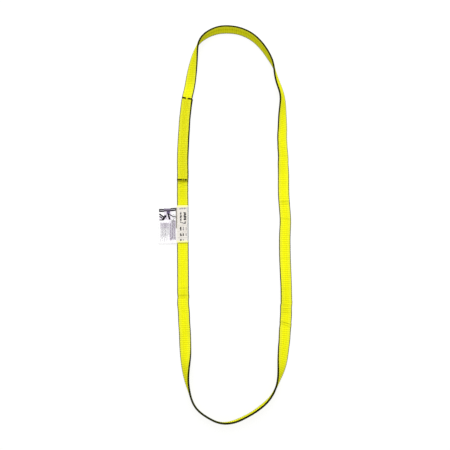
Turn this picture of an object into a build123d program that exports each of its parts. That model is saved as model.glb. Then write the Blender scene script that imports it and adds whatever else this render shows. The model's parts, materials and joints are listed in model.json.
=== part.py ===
"""Flat webbing loop with a two-ply splice, a sewn label and a drooping label flag.

The loop lies on the ground plane z = 0, long way along y, with the spliced leg at -x.
Fold lines across both legs part it into an upper (+y), a middle and a lower (-y) section.
Along the web, "inner" points into the loop and "outer" away from it. All sizes are in mm.
"""
from build123d import *
import math
import os

os.makedirs("parts", exist_ok=True)

# ---------------------------------------------------------------- webbing
WEB_WIDTH = 25.4  # 1 in webbing, selvedge to selvedge
WEB_T = 4.0  # thickness of one ply
CORE_HALF = 11.25  # half width of the load web between the two selvedges
EDGE_IN = 11.32  # selvedge bundle: inner side
EDGE_FLAT = 11.75  # selvedge bundle: where its round side starts
EDGE_OUT = WEB_WIDTH / 2  # selvedge bundle: outermost point
EDGE_HALF_T = 1.95  # selvedge bundle: half thickness
YARN_R = 0.50  # core yarn, six-sided
YARN_CHANNEL_R = 0.62  # its channel in the weave
YARN_ROWS = (-5.6, 5.6)  # where the core yarns run across the web
YARN_END_GAP = 0.2  # straight leg: yarn stops this far inside the web's ends
CHANNEL_OVERRUN = 0.12  # channels pass the web's ends by this many stations

# ---------------------------------------------------------------- fold lines
FOLD_UPPER_Y = 45.8  # between splice and label
FOLD_LOWER_Y = -193.5  # below the label
FOLD_GAP = 0.5  # half of the clearance across a fold line

# ---------------------------------------------------------------- splice
SPLICE_LOW_Y = 71.2  # free end of the top ply
SPLICE_HIGH_Y = 268.8  # free end of the bottom ply, the tail
PLY_PITCH = 4.06  # centre to centre of the two plies
TAIL_SHIFT = 0.4  # the tail sits this far toward the inner edge
TAIL_SHIFT_LENGTH = 20  # length over which the tail takes up its shift
SETTLE = 34.0  # length over which the top ply settles back to the ground
RAMP_OFFSET = 4  # both ramps start this far above their fold line or ply end
LAST_LIFTED_STATION = 45  # the top ply is never lifted beyond this station
THREAD_LIFT = 0.02  # clearance between threads and the face they lie on

# centreline of the loop lying on the ground: x, y, lean of the web in degrees.
# lean 90 is flat on the ground with the outer face up; 0 is standing on the outer edge.
# the closed list runs up the left leg, over the top bight, down the right leg,
# round the bottom bight and back to the left leg.
STATIONS = [
    (-89.06, -191.76, 89.6), (-89.43, -178.03, 90.0), (-89.73, -164.28, 90.0), (-90.03, -150.50, 90.0),
    (-90.32, -136.74, 90.0), (-90.62, -122.98, 90.0), (-90.91, -109.22, 90.0), (-91.21, -95.46, 90.0),
    (-91.50, -81.69, 90.0), (-91.80, -67.91, 90.0), (-92.10, -54.14, 90.0), (-92.39, -40.36, 90.0),
    (-92.69, -26.59, 90.0), (-92.99, -12.81, 90.0), (-93.28, 0.96, 90.0), (-93.58, 14.74, 90.0),
    (-93.87, 28.51, 90.0), (-94.17, 42.31, 90.0), (-94.48, 56.08, 90.0), (-94.54, 69.86, 89.1),
    (-94.15, 83.63, 86.8), (-94.47, 97.38, 85.7), (-94.86, 111.16, 85.3), (-94.97, 124.94, 84.9),
    (-94.74, 138.72, 84.5), (-94.23, 152.49, 84.2), (-93.78, 166.26, 83.9), (-93.18, 180.04, 83.5),
    (-92.42, 193.79, 83.1), (-91.96, 207.56, 82.9), (-91.23, 221.31, 82.5), (-89.97, 235.04, 81.9),
    (-88.82, 248.77, 80.9), (-87.34, 262.49, 79.9), (-84.99, 276.06, 79.4), (-82.70, 289.61, 79.1),
    (-80.84, 303.25, 78.0), (-78.94, 316.91, 75.0), (-77.09, 330.56, 68.4), (-75.28, 344.21, 59.1),
    (-73.34, 357.86, 49.3), (-71.36, 371.50, 39.0), (-68.98, 385.11, 27.5), (-65.57, 398.57, 16.9),
    (-59.79, 411.29, 8.0), (-50.91, 422.04, 0.8), (-39.96, 430.49, -4.6), (-27.73, 436.87, -8.5),
    (-14.55, 441.12, -11.5), (-0.77, 442.80, -12.8), (13.05, 442.32, -11.9), (26.69, 440.21, -10.5),
    (39.83, 436.10, -9.9), (52.23, 430.18, -10.0), (63.69, 422.59, -9.9), (73.87, 413.37, -9.2),
    (82.91, 403.01, -8.3), (90.91, 391.81, -7.3), (97.97, 379.99, -5.7), (104.38, 367.81, -2.1),
    (109.93, 355.21, 4.0), (113.82, 341.98, 11.0), (116.39, 328.43, 17.9), (119.39, 314.98, 24.3),
    (123.21, 301.73, 28.4), (127.09, 288.48, 28.8), (130.07, 274.99, 28.5), (131.26, 261.22, 31.4),
    (131.02, 247.41, 37.5), (130.40, 233.64, 44.2), (129.96, 219.87, 50.6), (129.86, 206.09, 55.5),
    (129.55, 192.31, 59.2), (128.82, 178.55, 61.8), (128.67, 164.79, 63.4), (129.42, 151.05, 65.5),
    (129.81, 137.28, 68.4), (129.44, 123.49, 70.7), (129.47, 109.71, 74.9), (129.94, 95.94, 82.0),
    (130.02, 82.16, 86.9), (129.74, 68.39, 88.1), (129.55, 54.62, 87.9), (129.62, 40.84, 87.8),
    (130.05, 27.08, 87.8), (130.71, 13.32, 87.3), (131.40, -0.43, 86.5), (131.81, -14.20, 85.9),
    (131.38, -27.96, 85.8), (130.31, -41.70, 86.6), (129.48, -55.46, 87.4), (129.15, -69.25, 87.7),
    (129.05, -83.02, 87.8), (129.07, -96.79, 88.1), (129.29, -110.57, 87.7), (129.53, -124.33, 86.0),
    (129.70, -138.12, 83.1), (129.91, -151.89, 79.9), (129.94, -165.66, 78.1), (129.79, -179.43, 78.3),
    (129.70, -193.21, 81.1), (129.31, -206.98, 84.7), (128.60, -220.72, 87.5), (127.48, -234.46, 88.3),
    (126.07, -248.15, 87.4), (125.07, -261.90, 83.7), (123.85, -275.62, 77.4), (121.96, -289.28, 70.8),
    (120.13, -302.95, 64.3), (118.21, -316.60, 55.9), (115.87, -330.16, 43.4), (112.95, -343.63, 28.0),
    (109.24, -356.88, 14.3), (104.63, -369.81, 6.0), (98.74, -382.17, 2.4), (90.97, -393.44, -0.8),
    (81.41, -403.23, -4.2), (70.81, -411.85, -5.3), (59.61, -419.65, -4.7), (47.78, -426.49, -4.3),
    (35.52, -432.53, -4.9), (22.93, -437.67, -4.6), (9.84, -441.09, -2.2), (-3.65, -442.11, 0.9),
    (-17.02, -439.79, 2.7), (-29.54, -434.41, 3.1), (-41.36, -427.58, 3.2), (-52.34, -419.35, 3.1),
    (-61.45, -409.01, 3.0), (-67.71, -396.70, 3.1), (-71.90, -383.59, 5.2), (-75.53, -370.33, 11.3),
    (-78.36, -356.82, 20.5), (-79.93, -343.12, 31.5), (-80.76, -329.33, 44.4), (-81.33, -315.57, 58.6),
    (-82.08, -301.81, 72.1), (-83.00, -288.08, 81.9), (-83.68, -274.31, 86.8), (-84.32, -260.54, 87.6),
    (-85.35, -246.82, 87.2), (-86.22, -233.07, 87.1), (-86.89, -219.27, 87.5), (-88.22, -205.49, 88.5),
]

# station ranges to search for a cut, each on a part of a leg where y only rises or only falls
NEAR_UPPER_FOLD_LEFT = (15, 20)
NEAR_SPLICE_LOW = (18, 24)
NEAR_SPLICE_HIGH = (30, 37)
NEAR_UPPER_FOLD_RIGHT = (80, 90)
NEAR_LOWER_FOLD_RIGHT = (97, 105)
NEAR_LOWER_FOLD_LEFT = (140, 146)


# ---------------------------------------------------------------- ribbon geometry
def station(s):
    """x, y, lean at a fractional station number: a Catmull-Rom curve through the closed list."""
    i = math.floor(s)
    f = s - i
    neighbours = (STATIONS[(i + k) % len(STATIONS)] for k in (-1, 0, 1, 2))
    return tuple(
        0.5
        * (
            2 * start
            + (end - before) * f
            + (2 * before - 5 * start + 4 * end - after) * f * f
            + (3 * start - before - 3 * end + after) * f * f * f
        )
        for before, start, end, after in zip(*neighbours)
    )


def centre(s):
    """Centre of the web, high enough that its lowest corner touches the ground."""
    x, y, lean = station(s)
    angle = math.radians(lean)
    z = WEB_WIDTH / 2 * abs(math.cos(angle)) + WEB_T / 2 * abs(math.sin(angle))
    return Vector(x, y, z)


def ribbon_plane(s, across=0.0, out=0.0):
    """Section plane: local x from the outer edge to the inner edge, local y toward the outer face."""
    angle = math.radians(station(s)[2])
    tangent = (centre(s + 0.05) - centre(s - 0.05)).normalized()
    inward = Vector(tangent.Y, -tangent.X, 0).normalized()
    upward = inward.cross(tangent).normalized()
    width_dir = inward * math.sin(angle) + upward * math.cos(angle)
    plane = Plane(origin=centre(s), x_dir=width_dir, z_dir=tangent * -1)
    return Plane(
        origin=plane.origin + plane.x_dir * across + plane.y_dir * out,
        x_dir=plane.x_dir,
        z_dir=plane.z_dir,
    )


def face_plane(section):
    """Plane on the web's face at a section: local x across the web, normal away from the face."""
    return Plane(origin=section.origin, x_dir=section.x_dir, z_dir=section.y_dir)


def find(y_wanted, station_range):
    """Station number in the range where the centreline crosses y_wanted, by bisection."""
    low, high = station_range
    rising = station(high)[1] > station(low)[1]
    for _ in range(60):
        mid = (low + high) / 2
        if (station(mid)[1] < y_wanted) == rising:
            low = mid
        else:
            high = mid
    return (low + high) / 2


def run(start, end):
    """Evenly spaced station numbers from start to end, about one station apart."""
    n = max(2, math.ceil(end - start))
    return [start + (end - start) * k / n for k in range(n + 1)]


def smooth(v):
    """Smooth step from 0 to 1."""
    v = min(1.0, max(0.0, v))
    return v * v * (3 - 2 * v)


def top_ply_out(s):
    """Lift of the upper length toward its outer face: one ply over the tail, then settling."""
    if s > LAST_LIFTED_STATION:
        return 0.0
    settled = smooth((station(s)[1] - SPLICE_HIGH_Y - RAMP_OFFSET) / SETTLE)
    return PLY_PITCH * (1 - settled)


def tail_across(s):
    """Sideways shift of the tail, growing to TAIL_SHIFT before the splice starts."""
    return TAIL_SHIFT * smooth((station(s)[1] - FOLD_UPPER_Y - RAMP_OFFSET) / TAIL_SHIFT_LENGTH)


# paths of the curved lengths: station number, shift toward the inner edge, lift outward
UPPER = [
    (s, 0.0, top_ply_out(s))
    for s in run(
        find(SPLICE_LOW_Y, NEAR_SPLICE_LOW),
        find(FOLD_UPPER_Y + FOLD_GAP, NEAR_UPPER_FOLD_RIGHT),
    )
]
TAIL = [
    (s, tail_across(s), 0.0)
    for s in run(
        find(FOLD_UPPER_Y + FOLD_GAP, NEAR_UPPER_FOLD_LEFT),
        find(SPLICE_HIGH_Y, NEAR_SPLICE_HIGH),
    )
]
LOWER = [
    (s, 0.0, 0.0)
    for s in run(
        find(FOLD_LOWER_Y - FOLD_GAP, NEAR_LOWER_FOLD_RIGHT),
        find(FOLD_LOWER_Y - FOLD_GAP, NEAR_LOWER_FOLD_LEFT),
    )
]
RIGHT_MIDDLE = [
    (s, 0.0, 0.0)
    for s in run(
        find(FOLD_UPPER_Y - FOLD_GAP, NEAR_UPPER_FOLD_RIGHT),
        find(FOLD_LOWER_Y + FOLD_GAP, NEAR_LOWER_FOLD_RIGHT),
    )
]


def overrun(path):
    """The same path, carried a little past both ends, for cutting channels right through."""
    first, last = path[0], path[-1]
    return [
        (first[0] - CHANNEL_OVERRUN, *first[1:]),
        *path,
        (last[0] + CHANNEL_OVERRUN, *last[1:]),
    ]


def edge_flat(side):
    """Corners of a selvedge bundle's flat sides; side is -1 at the outer edge, +1 at the inner."""
    return (
        (side * EDGE_FLAT, -EDGE_HALF_T),
        (side * EDGE_IN, -EDGE_HALF_T),
        (side * EDGE_IN, EDGE_HALF_T),
        (side * EDGE_FLAT, EDGE_HALF_T),
    )


def edge_round(side):
    """Three points of its rounded outside."""
    return (side * EDGE_FLAT, EDGE_HALF_T), (side * EDGE_OUT, 0), (side * EDGE_FLAT, -EDGE_HALF_T)


# ---------------------------------------------------------------- straight left middle leg
LEG_SLOPE = 0.0215  # the leg runs this much toward -x per mm of y
LEG_X = -94.25  # x of its centreline at LEG_X_Y
LEG_X_Y = 46.0
LEG_DIR = Vector(-LEG_SLOPE, 1, 0).normalized()
LEG_SIDE = Vector(LEG_DIR.Y, -LEG_DIR.X, 0)
LEG_TOP = FOLD_UPPER_Y - FOLD_GAP
LEG_LOW = FOLD_LOWER_Y + FOLD_GAP
LEG_LENGTH = (LEG_TOP - LEG_LOW) / LEG_DIR.Y


def leg_plane(y, across=0.0, up=0.0):
    """Section at y: local x toward the inner edge, local y up, normal down the leg (-y)."""
    base = Vector(LEG_X + (LEG_X_Y - y) * LEG_SLOPE, y, WEB_T / 2)
    return Plane(
        origin=base + LEG_SIDE * across + Vector(0, 0, up),
        x_dir=LEG_SIDE,
        z_dir=LEG_DIR * -1,
    )


# ---------------------------------------------------------------- pieces
def save(builder, name):
    builder.part.label = name
    export_step(builder.part, f"parts/{name}.step")


def straight_web(name):
    """Load web of the straight leg, with its yarn channels."""
    with BuildPart() as web:
        with BuildSketch(leg_plane(LEG_TOP)):
            Rectangle(2 * CORE_HALF, WEB_T)
        extrude(amount=LEG_LENGTH)
        with BuildSketch(leg_plane(LEG_TOP)):
            with Locations(*[(row, 0) for row in YARN_ROWS]):
                RegularPolygon(YARN_CHANNEL_R, 6)
        extrude(amount=LEG_LENGTH, mode=Mode.SUBTRACT)
    save(web, name)


def straight_yarns(name):
    with BuildPart() as yarns:
        with BuildSketch(leg_plane(LEG_TOP - YARN_END_GAP)):
            with Locations(*[(row, 0) for row in YARN_ROWS]):
                RegularPolygon(YARN_R, 6)
        extrude(amount=LEG_LENGTH - 2 * YARN_END_GAP)
    save(yarns, name)


def straight_edge(name, side):
    with BuildPart() as edge:
        with BuildSketch(leg_plane(LEG_TOP)):
            with BuildLine():
                Polyline(*edge_flat(side))
                ThreePointArc(*edge_round(side))
            make_face()
        extrude(amount=LEG_LENGTH)
    save(edge, name)


def curved_web(name, path):
    """Load web lofted along a path, with its yarn channels."""
    with BuildPart() as web:
        for s, across, out in path:
            with BuildSketch(ribbon_plane(s, across, out)):
                Rectangle(2 * CORE_HALF, WEB_T)
        loft()
        for row in YARN_ROWS:
            for s, across, out in overrun(path):
                with BuildSketch(ribbon_plane(s, across + row, out)):
                    RegularPolygon(YARN_CHANNEL_R, 6)
            loft(mode=Mode.SUBTRACT)
    save(web, name)


def curved_yarns(name, path):
    with BuildPart() as yarns:
        for row in YARN_ROWS:
            for s, across, out in path:
                with BuildSketch(ribbon_plane(s, across + row, out)):
                    RegularPolygon(YARN_R, 6)
            loft()
    save(yarns, name)


def curved_edge(name, path, side):
    with BuildPart() as edge:
        for s, across, out in path:
            with BuildSketch(ribbon_plane(s, across, out)):
                with BuildLine():
                    Polyline(*edge_flat(side))
                    ThreePointArc(*edge_round(side))
                make_face()
        loft()
    save(edge, name)


straight_web("web_left_middle")
straight_yarns("core_yarns_left_middle")
straight_edge("edge_outer_left_middle", -1)
straight_edge("edge_inner_left_middle", 1)

for section_name, section_path in (
    ("right_middle", RIGHT_MIDDLE),
    ("upper", UPPER),
    ("lower", LOWER),
):
    curved_web(f"web_{section_name}", section_path)
    curved_yarns(f"core_yarns_{section_name}", section_path)
    curved_edge(f"edge_outer_{section_name}", section_path, -1)
    curved_edge(f"edge_inner_{section_name}", section_path, 1)

curved_web("web_splice_tail", TAIL)
curved_yarns("core_yarns_tail", TAIL)
curved_edge("tail_edge_outer", TAIL, -1)
curved_edge("tail_edge_inner", TAIL, 1)

# ================================================================= splice stitching
SPLICE_FACE_OUT = PLY_PITCH + WEB_T / 2  # outer face of the top ply

THREAD_ROWS = (-9.2, -5.6, -1.9, 1.9, 5.6, 9.2)  # lengthwise rows, across the web
THREAD_W = 0.7
THREAD_T = 0.3
THREAD_INSET = 5  # rows stop this far inside both ends of the splice


def splice_thread_rows():
    """Lengthwise rows, lying on the top ply's outer face."""
    low = find(SPLICE_LOW_Y + THREAD_INSET, NEAR_SPLICE_LOW)
    high = find(SPLICE_HIGH_Y - THREAD_INSET, NEAR_SPLICE_HIGH)
    with BuildPart() as threads:
        for row in THREAD_ROWS:
            for s in run(low, high):
                with BuildSketch(ribbon_plane(s, row, SPLICE_FACE_OUT + THREAD_T / 2 + THREAD_LIFT)):
                    Rectangle(THREAD_W, THREAD_T)
            loft()
    save(threads, "splice_thread_rows")


CROSS_L = 2.8  # length of a cross row along the web
CROSS_T = 0.45
# station of each cross row, then its dashes: middle across the web, length
CROSS_ROWS = (
    (find(SPLICE_LOW_Y + 2.2, NEAR_SPLICE_LOW), ((-6.0, 10.6), (2.6, 2.4), (6.6, 3.4))),
    (find(SPLICE_HIGH_Y - 0.6, NEAR_SPLICE_HIGH), ((-6.2, 8.0), (5.6, 9.6))),
)


def splice_cross_rows():
    """Cross stitching over both ends of the splice, in separate dashes."""
    with BuildPart() as dashes_part:
        for s, dashes in CROSS_ROWS:
            face = face_plane(ribbon_plane(s, 0, SPLICE_FACE_OUT + THREAD_LIFT))
            for middle, length in dashes:
                with BuildSketch(face):
                    with Locations((middle, 0)):
                        Rectangle(length, CROSS_L)
                extrude(amount=CROSS_T)
    save(dashes_part, "splice_cross_rows")


splice_thread_rows()
splice_cross_rows()

# ================================================================= label on the left middle leg
LABEL_LOW_Y = -68.6
LABEL_HIGH_Y = 15.2
LABEL_WIDTH = 2 * 11.8
LABEL_SHIFT = -0.9  # toward the outer edge
LABEL_T = 0.5
LABEL_GAP = 0.05  # clearance between web and label
LABEL_UP = WEB_T / 2 + LABEL_GAP + LABEL_T / 2  # middle of the label above the web's centre
LABEL_FACE_UP = LABEL_UP + LABEL_T / 2
LABEL_LENGTH = (LABEL_HIGH_Y - LABEL_LOW_Y) / LEG_DIR.Y

FILM_T = 0.15
FILM_GAP = 0.03  # clearance between label and film
FILM_END_INSET = 5
FILM_SIDE_INSET = 0.3

STITCH_INSET = 2.4  # stitch row from the label's end
STITCH_COUNT = 7
STITCH_PITCH = 3.0
STITCH_L = 2.2
STITCH_W = 0.55
STITCH_T = 0.3


def label_sheet(name, inset_end, up, width, thickness):
    """Flat sheet over the leg, set in from both ends of the label."""
    with BuildPart() as sheet:
        with BuildSketch(leg_plane(LABEL_HIGH_Y - inset_end, LABEL_SHIFT, up)):
            Rectangle(width, thickness)
        extrude(amount=LABEL_LENGTH - 2 * inset_end)
    save(sheet, name)


def label_stitching():
    """One row of stitches across the label near each end."""
    with BuildPart() as stitches:
        for y in (LABEL_HIGH_Y - STITCH_INSET, LABEL_LOW_Y + STITCH_INSET):
            face = face_plane(leg_plane(y, LABEL_SHIFT, LABEL_FACE_UP + THREAD_LIFT))
            with BuildSketch(face):
                with GridLocations(STITCH_PITCH, 1.0, STITCH_COUNT, 1):
                    Rectangle(STITCH_L, STITCH_W)
            extrude(amount=STITCH_T)
    save(stitches, "label_stitching")


label_sheet("label_panel", 0, LABEL_UP, LABEL_WIDTH, LABEL_T)
label_sheet(
    "label_panel_film",
    FILM_END_INSET,
    LABEL_FACE_UP + FILM_GAP + FILM_T / 2,
    LABEL_WIDTH - 2 * FILM_SIDE_INSET,
    FILM_T,
)
label_stitching()

# ================================================================= flag beside the outer edge
FLAG_LOW_Y = -70.9
FLAG_HIGH_Y = 9.8
FLAG_W = 38.9
FLAG_T = 0.4
FLAG_RISE = 0.9  # the free end sits this much further toward +y than the web end
FLAG_AXIS_ACROSS = -(WEB_WIDTH / 2 + 0.5)  # fold axis, just outside the web's outer edge
FLAG_FILM_GAP = 0.05  # clearance between flag and film
FLAG_FILM_TRIM = 0.9  # the film is this much smaller on each side
# drooping underside: distance outward from the fold axis, height above the ground
DROOP = (
    (0.35, 5.00), (4.0, 4.75), (9.0, 3.05), (14.0, 1.15),
    (19.0, 0.25), (24.0, 0.05), (31.0, 0.20), (FLAG_W, 0.55),
)
# the drooping sheet is made too long, then cut to its plan
BLANK_OVER_HIGH = 6  # extra length beyond the high end
BLANK_OVER = 16  # extra length in all
PLAN_OVER_AXIS = 1  # the plan reaches this far inward of the fold axis
PLAN_REACH = FLAG_W + 5  # and this far outward


def flag_profile(lift, trim):
    """Sheet underside, raised and trimmed at both ends; x is inward, so distances turn negative."""
    points = [(-distance, z + lift) for distance, z in DROOP]
    return [(points[0][0] - trim, points[0][1]), *points[1:-1], (points[-1][0] + trim, points[-1][1])]


def flag_plan(trim):
    """Corners of the sheet seen from above; its ends slant toward +y at the free end."""
    high = leg_plane(FLAG_HIGH_Y - trim, FLAG_AXIS_ACROSS).origin
    low = leg_plane(FLAG_LOW_Y + trim, FLAG_AXIS_ACROSS).origin
    to_free_end = Vector(0, FLAG_RISE * PLAN_REACH / FLAG_W, 0) - LEG_SIDE * PLAN_REACH
    free_low = low + to_free_end
    free_high = high + to_free_end
    return (
        (high.X + PLAN_OVER_AXIS, high.Y),
        (low.X + PLAN_OVER_AXIS, low.Y),
        (free_low.X, free_low.Y),
        (free_high.X, free_high.Y),
    )


def flag_sheet(name, thickness, lift, trim):
    """Sheet that droops from the fold axis to the ground."""
    under = flag_profile(lift, trim)
    over = [(x, z + thickness) for x, z in under]
    with BuildPart() as sheet:
        with BuildSketch(leg_plane(FLAG_HIGH_Y + BLANK_OVER_HIGH, FLAG_AXIS_ACROSS, -WEB_T / 2)):
            with BuildLine():
                Spline(*under)
                Line(under[-1], over[-1])
                Spline(*reversed(over))
                Line(over[0], under[0])
            make_face()
        extrude(amount=FLAG_HIGH_Y - FLAG_LOW_Y + BLANK_OVER)
        # the plan is cut from just below the ground to well above the sheet
        with BuildSketch(Plane.XY.offset(-1)):
            Polygon(*flag_plan(trim), align=None)
        extrude(amount=12, mode=Mode.INTERSECT)
    save(sheet, name)


flag_sheet("flag_panel", thickness=FLAG_T, lift=0.0, trim=0.0)
flag_sheet("flag_film", thickness=FILM_T, lift=FLAG_T + FLAG_FILM_GAP, trim=FLAG_FILM_TRIM)
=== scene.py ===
"""An endless loop of yellow webbing, laid out with its length along Y.

One strip makes the whole loop. It starts at the splice, at the left (-X) of the upper
(+Y) end, runs over to the right, down the right leg, across the lower end and up the
left leg, and its tail laps over its start. A label panel is sewn to the left leg, and a
flag hinged on the panel droops outward, toward -X. Shapes are worked out in mm.
"""
import json
import math

import bmesh
import bpy
import numpy as np
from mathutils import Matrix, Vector
from mathutils.bvhtree import BVHTree

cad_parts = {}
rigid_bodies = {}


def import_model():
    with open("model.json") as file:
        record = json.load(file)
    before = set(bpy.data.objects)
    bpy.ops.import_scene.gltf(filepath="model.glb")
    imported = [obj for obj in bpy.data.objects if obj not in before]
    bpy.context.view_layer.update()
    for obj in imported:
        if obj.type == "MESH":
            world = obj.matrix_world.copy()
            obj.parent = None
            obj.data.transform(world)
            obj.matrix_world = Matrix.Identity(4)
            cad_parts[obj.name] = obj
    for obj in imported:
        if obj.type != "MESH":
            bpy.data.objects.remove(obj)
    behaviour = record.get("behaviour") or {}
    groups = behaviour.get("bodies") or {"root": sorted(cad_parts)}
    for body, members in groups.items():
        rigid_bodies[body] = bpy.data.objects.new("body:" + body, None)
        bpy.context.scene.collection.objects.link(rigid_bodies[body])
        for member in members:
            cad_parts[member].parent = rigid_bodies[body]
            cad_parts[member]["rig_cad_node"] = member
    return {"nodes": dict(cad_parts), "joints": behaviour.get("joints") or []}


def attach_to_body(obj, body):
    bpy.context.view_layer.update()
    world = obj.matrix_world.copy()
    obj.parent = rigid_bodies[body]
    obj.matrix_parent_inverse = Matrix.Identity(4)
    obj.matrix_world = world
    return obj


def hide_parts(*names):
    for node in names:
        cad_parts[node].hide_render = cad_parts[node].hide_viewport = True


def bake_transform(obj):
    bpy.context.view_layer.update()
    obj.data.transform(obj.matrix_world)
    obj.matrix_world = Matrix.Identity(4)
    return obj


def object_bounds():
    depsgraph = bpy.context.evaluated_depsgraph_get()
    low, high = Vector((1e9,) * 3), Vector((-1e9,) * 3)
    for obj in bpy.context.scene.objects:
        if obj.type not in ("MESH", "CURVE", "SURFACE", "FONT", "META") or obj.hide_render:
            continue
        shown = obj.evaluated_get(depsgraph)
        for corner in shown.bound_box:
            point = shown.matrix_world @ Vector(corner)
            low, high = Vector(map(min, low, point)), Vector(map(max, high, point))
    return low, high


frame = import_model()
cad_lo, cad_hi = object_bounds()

MM = 0.001
TURN = 2 * np.pi
rng = np.random.default_rng(815)
scene = bpy.context.scene
JOINTS = {joint["name"]: joint for joint in frame["joints"]}

# the weave
COLUMNS = 12  # yarn columns across the web
POINTS_PER_COLUMN = 4
PICK = 4.4  # length of one yarn float
GROOVE_DEPTH = 0.5

# bends: half the length of the strip pieces at the folds
UPPER_BEND = 22.0
LOWER_BEND = 24.0

# threads along the splice: places across the web, and spacing
THREAD_ROWS = (-9.2, -5.6, -1.9, 1.9, 5.6, 9.2)
THREAD_PITCH = 4.3
THREAD_LENGTH = 3.5

# print grids, from a sheet's own corner: cells across and down the whole sheet
PANEL_GRID = (10.8, 37.0)
FLAG_GRID = (16.5, 36.3)
FLAG_LENGTH = 84.0  # nominal, for laying out printed strokes
PRINT_LIFT = 0.05
PRINT_SINK = 0.06


# ------------------------------------------------------------ the strip's path
def cad_mesh(node):
    """Welded vertices in mm and triangles of a CAD node."""
    mesh = frame["nodes"][node].data
    points = np.zeros(len(mesh.vertices) * 3)
    mesh.vertices.foreach_get("co", points)
    points = points.reshape(-1, 3) * 1000
    mesh.calc_loop_triangles()
    tris = np.zeros(len(mesh.loop_triangles) * 3, dtype=np.int64)
    mesh.loop_triangles.foreach_get("vertices", tris)
    welded, index = np.unique(np.round(points, 3), axis=0, return_inverse=True)
    tris = index.reshape(-1)[tris].reshape(-1, 3)
    first, second, third = tris.T
    return welded, tris[(first != second) & (second != third) & (first != third)]


def chain_lengths(points):
    return np.linalg.norm(np.diff(points, axis=0), axis=1)


def arc_lengths(points):
    return np.r_[0, np.cumsum(chain_lengths(points))]


def sharp_neighbours(points, tris):
    """For each vertex on a sharp edge, the vertices those edges lead to."""
    normals = np.cross(points[tris[:, 1]] - points[tris[:, 0]],
                       points[tris[:, 2]] - points[tris[:, 0]])
    normals /= np.maximum(np.linalg.norm(normals, axis=1), 1e-12)[:, None]
    edge_faces = {}
    for face, tri in enumerate(tris):
        for k in range(3):
            start, end = int(tri[k]), int(tri[(k + 1) % 3])
            edge_faces.setdefault((min(start, end), max(start, end)), []).append(face)
    near = {}
    for (start, end), faces in edge_faces.items():
        if len(faces) == 2 and normals[faces[0]] @ normals[faces[1]] < 0.8:
            near.setdefault(start, set()).add(end)
            near.setdefault(end, set()).add(start)
    return near


def connected_groups(near):
    groups, seen = [], set()
    for vertex in near:
        if vertex in seen:
            continue
        group, todo = [], [vertex]
        seen.add(vertex)
        while todo:
            current = todo.pop()
            group.append(current)
            for other in near[current]:
                if other not in seen:
                    seen.add(other)
                    todo.append(other)
        groups.append(group)
    return groups


def corner_chains(node):
    """The four long corner lines of a strap-shaped node, as point lists."""
    points, tris = cad_mesh(node)
    near = sharp_neighbours(points, tris)
    outline = max(connected_groups(near),
                  key=lambda group: np.linalg.norm(np.ptp(points[group], axis=0)))
    corners = [vertex for vertex in outline if len(near[vertex]) >= 3]
    chains = []
    for corner in corners:
        for current in near[corner]:
            path, previous = [corner], corner
            while current not in corners:
                path.append(current)
                onward = [vertex for vertex in near[current] if vertex != previous]
                previous, current = current, onward[0]
            path.append(current)
            chain = points[path]
            if corner < current and chain_lengths(chain).sum() > 60:
                chains.append(chain)
    if len(chains) != 4:
        raise RuntimeError(f"{node}: {len(chains)} corner lines")
    return chains


def hermite(knots, values, x):
    """Smooth curve through values at parameters knots, read at x."""
    if len(knots) > 2:
        slopes = np.gradient(values, knots, axis=0)
    else:
        slopes = np.repeat((values[1:] - values[:1]) / (knots[1] - knots[0]), 2, axis=0)
    i = np.clip(np.searchsorted(knots, x) - 1, 0, len(knots) - 2)
    gap = (knots[i + 1] - knots[i])[:, None]
    t = ((x - knots[i]) / gap[:, 0])[:, None]
    return (
        (2 * t**3 - 3 * t**2 + 1) * values[i]
        + (t**3 - 2 * t**2 + t) * gap * slopes[i]
        + (3 * t**2 - 2 * t**3) * values[i + 1]
        + (t**3 - t**2) * gap * slopes[i + 1]
    )


def unit(vectors):
    return vectors / np.linalg.norm(vectors, axis=-1, keepdims=True)


def smooth(x):
    x = np.clip(x, 0, 1)
    return x * x * (3 - 2 * x)


def sections(node, previous):
    """Corner points of square-on sections along a strap node, shape (n, 4, 3).

    At the strip's start the corners are outer edge low and high, inner edge high and
    low. Later nodes carry on from the corners of the previous section.
    """
    chains = corner_chains(node)
    if previous is None:
        chains = [c if c[0][0] < 0 else c[::-1] for c in chains]
        by_x = sorted(chains, key=lambda c: c[0][0])
        outer, inner = (sorted(pair, key=lambda c: c[0][2]) for pair in (by_x[:2], by_x[2:]))
        chains = [outer[0], outer[1], inner[1], inner[0]]
    else:
        middle = previous.mean(0)
        chains = [
            c if np.linalg.norm(c[0] - middle) < np.linalg.norm(c[-1] - middle) else c[::-1]
            for c in chains
        ]
        chains = [min(chains, key=lambda c: np.linalg.norm(c[0] - p)) for p in previous]
    knots = [arc_lengths(c) / arc_lengths(c)[-1] for c in chains]
    length = np.mean([chain_lengths(c).sum() for c in chains])
    reads = [np.linspace(0, 1, max(3, int(length / 4))) for _ in range(4)]

    def corner_points():
        return [hermite(knots[k], chains[k], reads[k]) for k in range(4)]

    # slide each corner along its line until the sections are square to the strip
    for _ in range(4):
        points = corner_points()
        middle = np.mean(points, axis=0)
        tangent = unit(np.gradient(middle, axis=0))
        for k in range(4):
            ahead = ((points[k] - middle) * tangent).sum(1) / length
            ahead[0] = ahead[-1] = 0
            reads[k] = np.clip(reads[k] - ahead, 0, 1)
    return np.stack(corner_points(), axis=1)


WEB_NODES = ["web_upper", "web_right_middle", "web_lower", "web_left_middle", "web_splice_tail"]
node_sections = []
for web_node in WEB_NODES:
    before = node_sections[-1][-1] if node_sections else None
    node_sections.append(sections(web_node, before))
corners = np.concatenate(node_sections)
middles = corners.mean(1)
arc = arc_lengths(middles)
node_ends = np.cumsum([len(part) for part in node_sections])
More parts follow.
